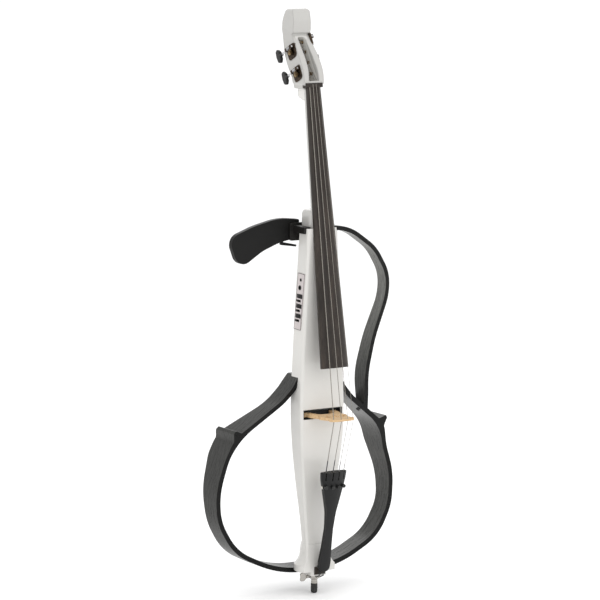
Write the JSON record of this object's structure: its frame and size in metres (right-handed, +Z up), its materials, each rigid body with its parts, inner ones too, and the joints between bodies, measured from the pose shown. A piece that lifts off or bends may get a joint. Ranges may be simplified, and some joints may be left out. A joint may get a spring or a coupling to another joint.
{
  "type": "electric cello",
  "caption": "Full-size electric cello with a slim solid body, open half-frame bouts, geared head, arched tailpiece with fine tuners and a sliding endpin.",
  "frame": {"origin": "the point of the endpin's rubber tip, with the endpin pushed in", "axes": "+Z up along the endpin and the body, -Y the playing side with the strings, +X the treble side"},
  "size_m": [0.4428, 0.2367, 1.2147],
  "materials": {
    "pearl_white": "gloss pearl white lacquer over wood",
    "rim_black": "satin charcoal lacquer over moulded rim",
    "arm_black": "satin black",
    "ebony": "oiled dark wood",
    "maple": "bare maple with a light oil",
    "black_plastic": "satin black",
    "black_metal": "satin black plating",
    "nickel": "nickel plate",
    "steel": "bright steel",
    "brass": "turned brass",
    "bronze": "antique bronze",
    "panel_silver": "satin silver",
    "pickup_strip": "satin moulded strip",
    "board_plastic": "epoxy board",
    "cell_steel": "printed steel sleeve",
    "cord_nylon": "black nylon",
    "tip_rubber": "moulded rubber"
  },
  "bodies": {
    "root": {"neck_head": "pearl_white", "fingerboard": "ebony", "nut": "ebony", "tuner_plates": "bronze", "body_shell": "pearl_white", "body_back": "pearl_white", "batteries": "cell_steel", "saddle": "ebony", "lower_rim": "rim_black", "upper_rim": "rim_black", "rim_screws": "black_metal", "bridge": "maple", "piezo_pickup": "pickup_strip", "tailpiece": "black_plastic", "tail_cord": "cord_nylon", "endpin_socket": "nickel", "arm_bracket": "bronze", "control_panel": "panel_silver", "circuit_board": "board_plastic", "jacks": "black_plastic", "string_c": "steel", "string_g": "steel", "string_d": "steel", "string_a": "steel"},
    "post_c": {"tuner_post_c": "brass", "tuner_gear_c": "brass"},
    "worm_c": {"tuner_worm_c": "steel", "tuner_button_c": "black_metal"},
    "post_g": {"tuner_post_g": "brass", "tuner_gear_g": "brass"},
    "worm_g": {"tuner_worm_g": "steel", "tuner_button_g": "black_metal"},
    "post_d": {"tuner_post_d": "brass", "tuner_gear_d": "brass"},
    "worm_d": {"tuner_worm_d": "steel", "tuner_button_d": "black_metal"},
    "post_a": {"tuner_post_a": "brass", "tuner_gear_a": "brass"},
    "worm_a": {"tuner_worm_a": "steel", "tuner_button_a": "black_metal"},
    "lever_c": {"fine_tuner_lever_c": "nickel"},
    "screw_c": {"fine_tuner_screw_c": "black_metal"},
    "lever_g": {"fine_tuner_lever_g": "nickel"},
    "screw_g": {"fine_tuner_screw_g": "black_metal"},
    "lever_d": {"fine_tuner_lever_d": "nickel"},
    "screw_d": {"fine_tuner_screw_d": "black_metal"},
    "lever_a": {"fine_tuner_lever_a": "nickel"},
    "screw_a": {"fine_tuner_screw_a": "black_metal"},
    "endpin": {"endpin_rod": "nickel", "endpin_tip": "tip_rubber"},
    "endpin_clamp": {"endpin_screw": "nickel"},
    "arm": {"left_arm": "arm_black", "arm_stay": "arm_black"},
    "volume_dial": {"volume_wheel": "black_plastic"},
    "treble_dial": {"treble_wheel": "black_plastic"},
    "bass_dial": {"bass_wheel": "black_plastic"},
    "power_slider": {"power_switch": "black_plastic"},
    "reverb_slider": {"reverb_switch": "black_plastic"},
    "aux_slider": {"aux_switch": "black_plastic"},
    "door": {"battery_door": "pearl_white"}
  },
  "joints": [
    {"name": "post_c_turn", "type": "hinge", "parent": "root", "child": "post_c", "pos_m": [0, 0.04857, 1.08238], "axis": [1, 0, 0], "continuous": true},
    {"name": "worm_c_turn", "type": "hinge", "parent": "root", "child": "worm_c", "pos_m": [-0.0285, 0.0527, 1.09015], "axis": [0, 0.8829, -0.4695], "continuous": true},
    {"name": "post_g_turn", "type": "hinge", "parent": "root", "child": "post_g", "pos_m": [0, 0.07157, 1.12565], "axis": [1, 0, 0], "continuous": true},
    {"name": "worm_g_turn", "type": "hinge", "parent": "root", "child": "worm_g", "pos_m": [-0.0285, 0.0757, 1.13342], "axis": [0, 0.8829, -0.4695], "continuous": true},
    {"name": "post_d_turn", "type": "hinge", "parent": "root", "child": "post_d", "pos_m": [0, 0.0819, 1.14507], "axis": [1, 0, 0], "continuous": true},
    {"name": "worm_d_turn", "type": "hinge", "parent": "root", "child": "worm_d", "pos_m": [0.0285, 0.08603, 1.15284], "axis": [0, 0.8829, -0.4695], "continuous": true},
    {"name": "post_a_turn", "type": "hinge", "parent": "root", "child": "post_a", "pos_m": [0, 0.0603, 1.10446], "axis": [1, 0, 0], "continuous": true},
    {"name": "worm_a_turn", "type": "hinge", "parent": "root", "child": "worm_a", "pos_m": [0.0285, 0.06444, 1.11223], "axis": [0, 0.8829, -0.4695], "continuous": true},
    {"name": "lever_c_rock", "type": "hinge", "parent": "root", "child": "lever_c", "pos_m": [-0.02175, -0.06473, 0.25724], "axis": [1, 0, 0], "range_deg": [0, 2.5]},
    {"name": "screw_c_turn", "type": "hinge", "parent": "root", "child": "screw_c", "pos_m": [-0.02175, -0.07253, 0.2385], "axis": [0, 0.9833, 0.1822], "range_deg": [0, 900]},
    {"name": "lever_g_rock", "type": "hinge", "parent": "root", "child": "lever_g", "pos_m": [-0.00725, -0.06867, 0.25651], "axis": [1, 0, 0], "range_deg": [0, 2.5]},
    {"name": "screw_g_turn", "type": "hinge", "parent": "root", "child": "screw_g", "pos_m": [-0.00725, -0.07253, 0.2385], "axis": [0, 0.9833, 0.1822], "range_deg": [0, 900]},
    {"name": "lever_d_rock", "type": "hinge", "parent": "root", "child": "lever_d", "pos_m": [0.00725, -0.06867, 0.25651], "axis": [1, 0, 0], "range_deg": [0, 2.5]},
    {"name": "screw_d_turn", "type": "hinge", "parent": "root", "child": "screw_d", "pos_m": [0.00725, -0.07253, 0.2385], "axis": [0, 0.9833, 0.1822], "range_deg": [0, 900]},
    {"name": "lever_a_rock", "type": "hinge", "parent": "root", "child": "lever_a", "pos_m": [0.02175, -0.06473, 0.25724], "axis": [1, 0, 0], "range_deg": [0, 2.5]},
    {"name": "screw_a_turn", "type": "hinge", "parent": "root", "child": "screw_a", "pos_m": [0.02175, -0.07253, 0.2385], "axis": [0, 0.9833, 0.1822], "range_deg": [0, 900]},
    {"name": "endpin_slide", "type": "slide", "parent": "root", "child": "endpin", "axis": [0, 0, -1], "range_m": [0, 0.22]},
    {"name": "endpin_screw_turn", "type": "hinge", "parent": "root", "child": "endpin_clamp", "pos_m": [-0.02, 0, 0.037], "axis": [-1, 0, 0], "range_deg": [-180, 180]},
    {"name": "arm_fold", "type": "hinge", "parent": "root", "child": "arm", "pos_m": [-0.036, 0.045, 0.762], "axis": [0, -1, 0], "range_deg": [0, 70]},
    {"name": "volume_turn", "type": "hinge", "parent": "root", "child": "volume_dial", "pos_m": [-0.03897, -0.0003, 0.62924], "axis": [0.0484, -0.0454, 0.9978], "range_deg": [-140, 140]},
    {"name": "treble_turn", "type": "hinge", "parent": "root", "child": "treble_dial", "pos_m": [-0.03996, 0.00063, 0.60878], "axis": [0.0484, -0.0454, 0.9978], "range_deg": [-140, 140]},
    {"name": "bass_turn", "type": "hinge", "parent": "root", "child": "bass_dial", "pos_m": [-0.04095, 0.00156, 0.58833], "axis": [0.0484, -0.0454, 0.9978], "range_deg": [-140, 140]},
    {"name": "power_slide", "type": "slide", "parent": "root", "child": "power_slider", "axis": [0.0022, 0.999, 0.0453], "range_m": [-0.0035, 0.0035]},
    {"name": "reverb_slide", "type": "slide", "parent": "root", "child": "reverb_slider", "axis": [0.0022, 0.999, 0.0453], "range_m": [-0.0035, 0.0035]},
    {"name": "aux_slide", "type": "slide", "parent": "root", "child": "aux_slider", "axis": [0.0022, 0.999, 0.0453], "range_m": [-0.0035, 0.0035]},
    {"name": "door_swing", "type": "hinge", "parent": "root", "child": "door", "pos_m": [0, 0.03, 0.562], "axis": [-1, 0, 0], "range_deg": [0, 88]}
  ],
  "couplings": [
    {"joint": "worm_c_turn", "follows": "post_c_turn", "ratio": -16},
    {"joint": "worm_g_turn", "follows": "post_g_turn", "ratio": -16},
    {"joint": "worm_d_turn", "follows": "post_d_turn", "ratio": 16},
    {"joint": "worm_a_turn", "follows": "post_a_turn", "ratio": 16},
    {"joint": "screw_c_turn", "follows": "lever_c_rock", "ratio": 360},
    {"joint": "screw_g_turn", "follows": "lever_g_rock", "ratio": 360},
    {"joint": "screw_d_turn", "follows": "lever_d_rock", "ratio": 360},
    {"joint": "screw_a_turn", "follows": "lever_a_rock", "ratio": 360}
  ]
}
